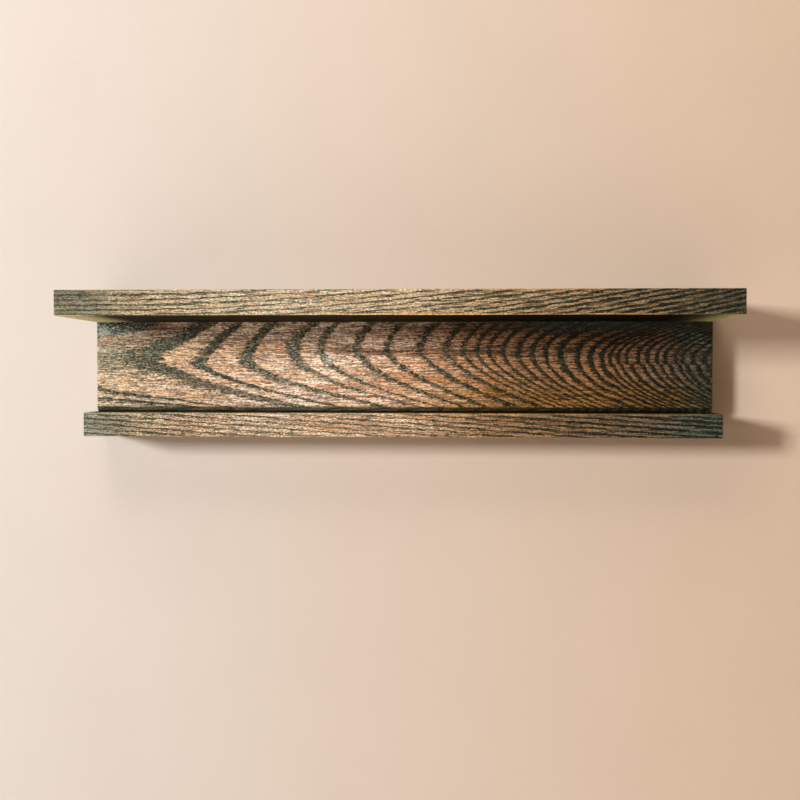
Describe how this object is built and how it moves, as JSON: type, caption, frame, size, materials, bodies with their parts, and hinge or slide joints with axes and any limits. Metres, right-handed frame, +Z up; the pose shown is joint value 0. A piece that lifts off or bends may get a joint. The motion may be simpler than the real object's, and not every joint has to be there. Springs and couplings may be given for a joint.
{
  "type": "display shelf",
  "caption": "Wall-hung display shelf: a deep stained oak top board and a shallow bottom ledge on a back board, dowelled and pocket-screwed, with keyhole hangers behind.",
  "frame": {"origin": "middle of the back board's rear face, on the wall", "axes": "+X along the shelf to the viewer's right, +Y into the wall, +Z up, so the front faces -Y"},
  "size_m": [0.61, 0.14, 0.135],
  "materials": {
    "stained_oak": "dark stain rubbed into open oak grain, satin",
    "beech_dowel": "bare turned beech",
    "zinc_screw": "bright zinc plate",
    "hanger_steel": "zinc-plated pressed steel"
  },
  "bodies": {
    "root": {"top_board": "stained_oak", "back_board": "stained_oak", "bottom_ledge": "stained_oak", "top_dowel_1": "beech_dowel", "top_dowel_2": "beech_dowel", "top_dowel_3": "beech_dowel", "top_dowel_4": "beech_dowel", "top_dowel_5": "beech_dowel", "top_dowel_6": "beech_dowel", "ledge_dowel_1": "beech_dowel", "ledge_dowel_2": "beech_dowel", "ledge_dowel_3": "beech_dowel", "ledge_dowel_4": "beech_dowel", "ledge_dowel_5": "beech_dowel", "ledge_dowel_6": "beech_dowel", "top_pocket_screw_1": "zinc_screw", "top_pocket_screw_2": "zinc_screw", "top_pocket_screw_3": "zinc_screw", "top_pocket_screw_4": "zinc_screw", "ledge_pocket_screw_1": "zinc_screw", "ledge_pocket_screw_2": "zinc_screw", "left_hanger_upper_screw": "zinc_screw", "left_hanger_lower_screw": "zinc_screw", "right_hanger_upper_screw": "zinc_screw", "right_hanger_lower_screw": "zinc_screw", "left_hanger_plate": "hanger_steel", "right_hanger_plate": "hanger_steel"}
  },
  "joints": []
}
